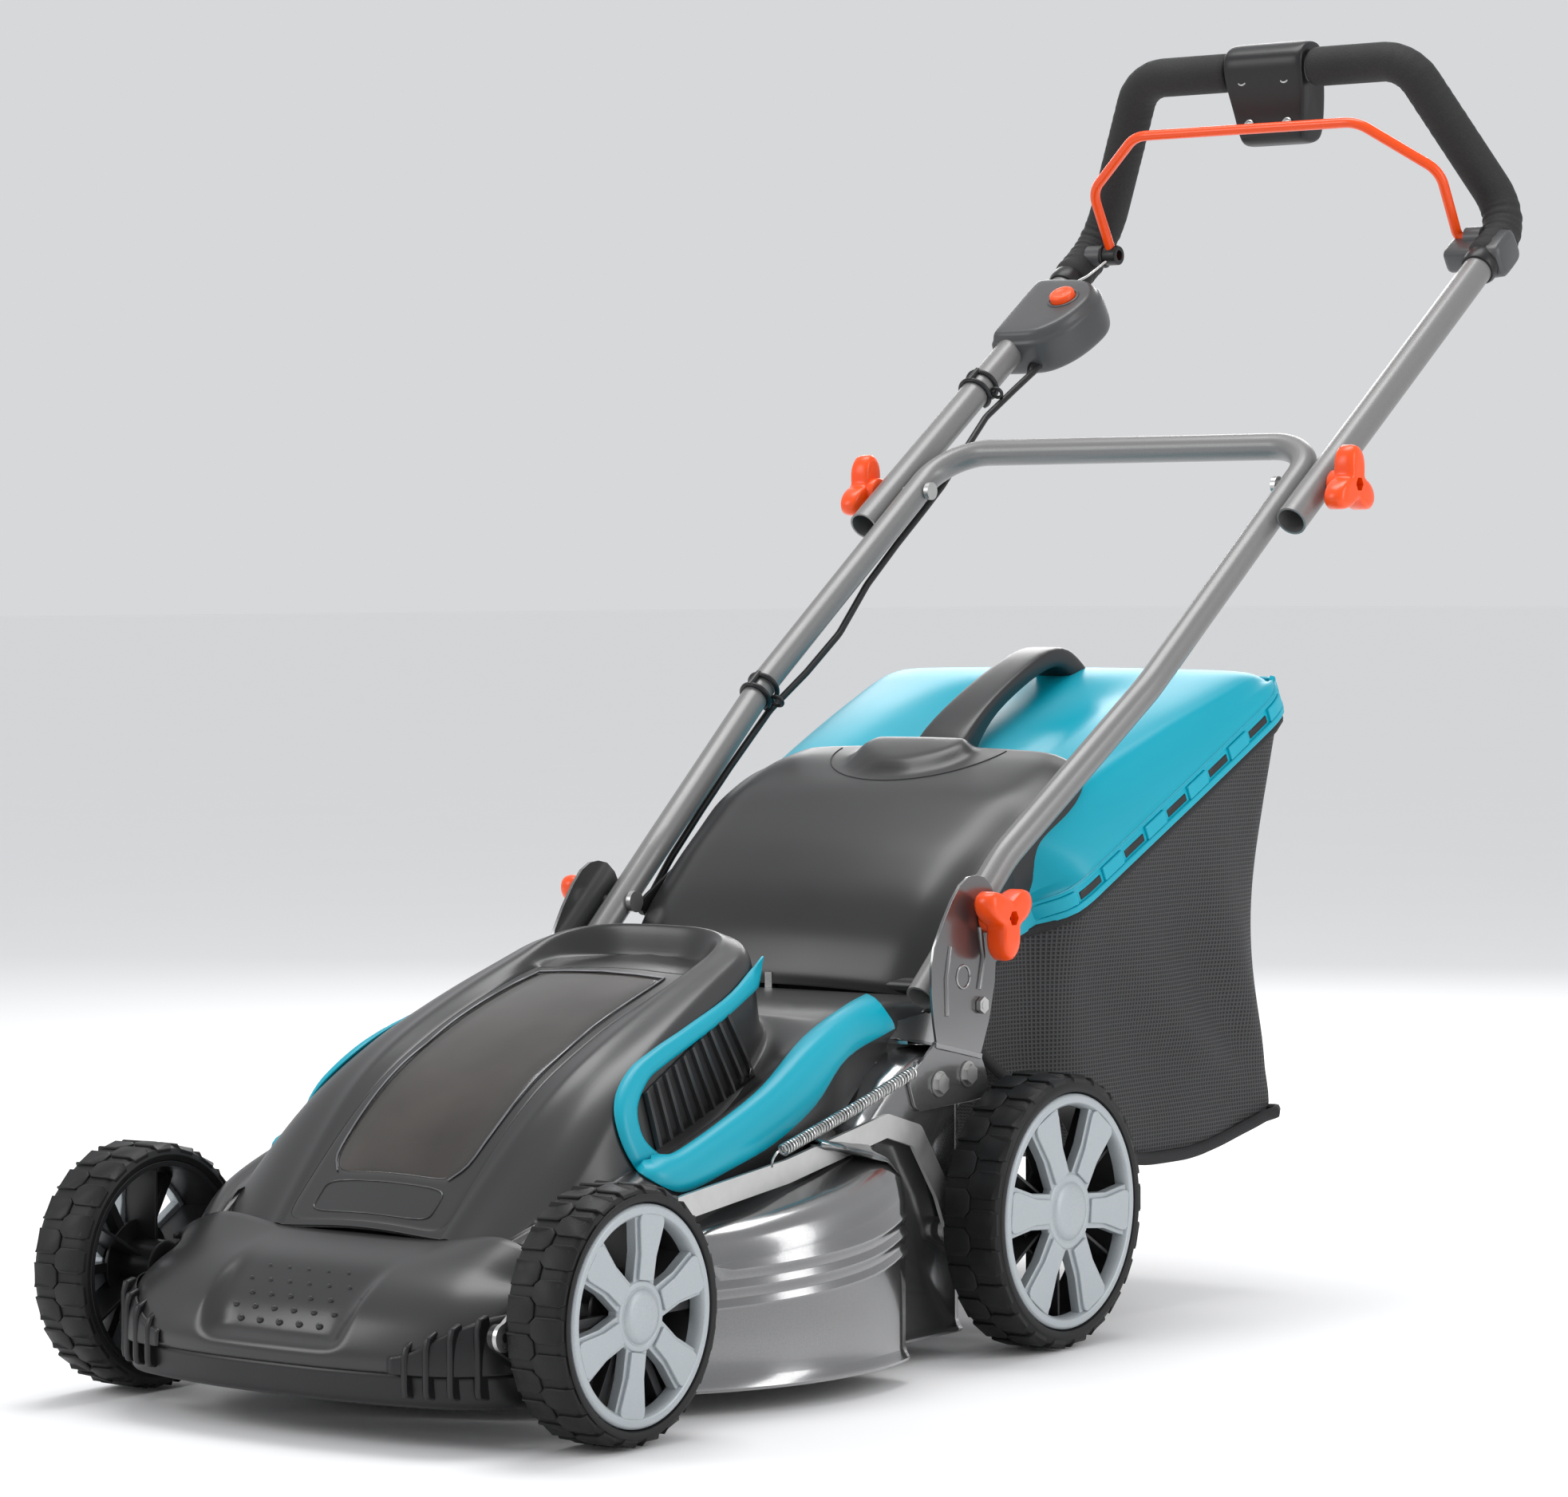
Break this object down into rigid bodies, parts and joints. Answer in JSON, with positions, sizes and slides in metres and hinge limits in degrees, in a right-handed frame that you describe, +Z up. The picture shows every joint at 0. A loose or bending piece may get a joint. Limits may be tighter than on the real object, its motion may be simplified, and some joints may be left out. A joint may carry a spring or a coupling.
{
  "type": "rotary lawn mower",
  "caption": "Battery-powered walk-behind rotary lawn mower with rear grass box, folding tube handle, squeeze bail, rear flap, battery door and linked height adjustment.",
  "frame": {"origin": "centre of the overall outline, on the ground between the four wheels", "axes": "+X to the side of the mower with the height link, -Y forward to the nose, +Z up"},
  "size_m": [0.4672, 1.2983, 0.98],
  "materials": {
    "steel_deck": "gloss metallic grey",
    "cover_grey": "satin fine-grained dark grey",
    "black_plastic": "satin black",
    "turquoise": "satin turquoise",
    "orange": "satin orange",
    "orange_rod": "gloss orange coat",
    "smoked_window": "smoked translucent",
    "silver_tube": "satin silver lacquer",
    "bracket_steel": "gloss grey lacquer",
    "zinc": "zinc plated",
    "tool_steel": "dark oiled steel",
    "tyre_black": "satin black rubber",
    "wheel_silver": "speckled silver",
    "foam": "matt foam",
    "mesh": "woven mesh",
    "flap_black": "fine-grained black",
    "switch_grey": "satin grey",
    "cable_black": "satin black",
    "motor_alloy": "cast",
    "battery_case": "satin"
  },
  "bodies": {
    "deck": {"deck_housing": "steel_deck", "undertray": "black_plastic", "nose_cover": "cover_grey", "motor_hood": "cover_grey", "rear_shelf": "cover_grey", "trim_left": "turquoise", "trim_right": "turquoise", "grille_left": "black_plastic", "grille_right": "black_plastic", "battery_pack": "battery_case", "motor_housing": "motor_alloy", "height_quadrant": "zinc", "axle_clamps": "black_plastic", "bracket_right": "bracket_steel", "bracket_left": "bracket_steel", "bracket_bolts": "zinc", "counter_spring": "zinc", "flap_rod": "zinc"},
    "rotor": {"motor_shaft": "tool_steel", "blade": "tool_steel", "blade_hub": "black_plastic"},
    "front_axle": {"front_axle_rod": "zinc"},
    "rear_axle": {"rear_axle_rod": "zinc", "height_lever": "zinc", "lever_grip": "orange"},
    "height_link": {"height_link": "zinc"},
    "battery_lid": {"lid_frame": "cover_grey", "lid_window": "smoked_window"},
    "flap": {"flap": "flap_black"},
    "grass_box": {"box_lid": "turquoise", "box_handle": "black_plastic", "grass_bag": "mesh"},
    "lower_handle": {"lower_tube": "silver_tube", "upper_bolts": "zinc", "lower_cable": "cable_black"},
    "upper_handle": {"upper_tube": "silver_tube", "foam_grips": "foam", "centre_box": "black_plastic", "bail_bushes": "switch_grey", "switch_box": "switch_grey", "upper_cable": "cable_black"},
    "bail": {"bail": "orange_rod"},
    "start_button": {"start_button": "orange"},
    "front_right_wheel": {"front_right_tyre": "tyre_black", "front_right_wheel": "wheel_silver"},
    "front_left_wheel": {"front_left_tyre": "tyre_black", "front_left_wheel": "wheel_silver"},
    "rear_right_wheel": {"rear_right_tyre": "tyre_black", "rear_right_wheel": "wheel_silver"},
    "rear_left_wheel": {"rear_left_tyre": "tyre_black", "rear_left_wheel": "wheel_silver"},
    "lower_right_knob": {"lower_right_knob": "orange"},
    "lower_left_knob": {"lower_left_knob": "orange"},
    "upper_right_knob": {"upper_right_knob": "orange"},
    "upper_left_knob": {"upper_left_knob": "orange"}
  },
  "joints": [
    {"name": "rotor_spin", "type": "hinge", "parent": "deck", "child": "rotor", "pos_m": [0, -0.307, 0.1], "axis": [0, 0, 1], "continuous": true},
    {"name": "front_axle_swing", "type": "hinge", "parent": "deck", "child": "front_axle", "pos_m": [0, -0.589, 0.0545], "axis": [-1, 0, 0], "range_deg": [0, 50], "deforming": ["counter_spring"]},
    {"name": "rear_axle_swing", "type": "hinge", "parent": "deck", "child": "rear_axle", "pos_m": [0, -0.101, 0.069], "axis": [-1, 0, 0], "range_deg": [0, 50]},
    {"name": "link_swing", "type": "hinge", "parent": "front_axle", "child": "height_link", "pos_m": [0.1745, -0.624, 0.0745], "axis": [-1, 0, 0], "range_deg": [-50, 0]},
    {"name": "battery_lid_hinge", "type": "hinge", "parent": "deck", "child": "battery_lid", "pos_m": [0, -0.552, 0.1195], "axis": [1, 0, 0], "range_deg": [0, 60]},
    {"name": "flap_hinge", "type": "hinge", "parent": "deck", "child": "flap", "pos_m": [0, -0.103, 0.252], "axis": [1, 0, 0], "range_deg": [0, 60]},
    {"name": "grass_box_slide", "type": "slide", "parent": "deck", "child": "grass_box", "axis": [0, 1, 0], "range_m": [0, 0.25]},
    {"name": "lower_handle_fold", "type": "hinge", "parent": "deck", "child": "lower_handle", "pos_m": [0, -0.085, 0.302], "axis": [1, 0, 0], "range_deg": [0, 140]},
    {"name": "upper_handle_fold", "type": "hinge", "parent": "lower_handle", "child": "upper_handle", "pos_m": [0, 0.328, 0.609], "axis": [-1, 0, 0], "range_deg": [-120, 0]},
    {"name": "bail_squeeze", "type": "hinge", "parent": "upper_handle", "child": "bail", "pos_m": [0, 0.608, 0.812], "axis": [-1, 0, 0], "range_deg": [0, 14], "stiffness_Nm_per_rad": 0.6, "springref_deg": -20.05},
    {"name": "start_press", "type": "slide", "parent": "upper_handle", "child": "start_button", "axis": [0, 0.5691, -0.8223], "range_m": [0, 0.004], "stiffness_N_per_m": 400, "springref_m": -0.002},
    {"name": "front_right_wheel_spin", "type": "hinge", "parent": "front_axle", "child": "front_right_wheel", "pos_m": [0.2, -0.548, 0.0825], "axis": [1, 0, 0], "continuous": true},
    {"name": "front_left_wheel_spin", "type": "hinge", "parent": "front_axle", "child": "front_left_wheel", "pos_m": [-0.2, -0.548, 0.0825], "axis": [1, 0, 0], "continuous": true},
    {"name": "rear_right_wheel_spin", "type": "hinge", "parent": "rear_axle", "child": "rear_right_wheel", "pos_m": [0.2, -0.06, 0.097], "axis": [1, 0, 0], "continuous": true},
    {"name": "rear_left_wheel_spin", "type": "hinge", "parent": "rear_axle", "child": "rear_left_wheel", "pos_m": [-0.2, -0.06, 0.097], "axis": [1, 0, 0], "continuous": true},
    {"name": "lower_right_knob_turn", "type": "hinge", "parent": "deck", "child": "lower_right_knob", "pos_m": [0.18, -0.085, 0.302], "axis": [1, 0, 0], "continuous": true},
    {"name": "lower_left_knob_turn", "type": "hinge", "parent": "deck", "child": "lower_left_knob", "pos_m": [-0.18, -0.085, 0.302], "axis": [1, 0, 0], "continuous": true},
    {"name": "upper_right_knob_turn", "type": "hinge", "parent": "lower_handle", "child": "upper_right_knob", "pos_m": [0.18, 0.328, 0.609], "axis": [1, 0, 0], "continuous": true},
    {"name": "upper_left_knob_turn", "type": "hinge", "parent": "lower_handle", "child": "upper_left_knob", "pos_m": [-0.18, 0.328, 0.609], "axis": [1, 0, 0], "continuous": true}
  ],
  "couplings": [
    {"joint": "rear_axle_swing", "follows": "front_axle_swing", "ratio": 1},
    {"joint": "link_swing", "follows": "front_axle_swing", "ratio": -1}
  ]
}
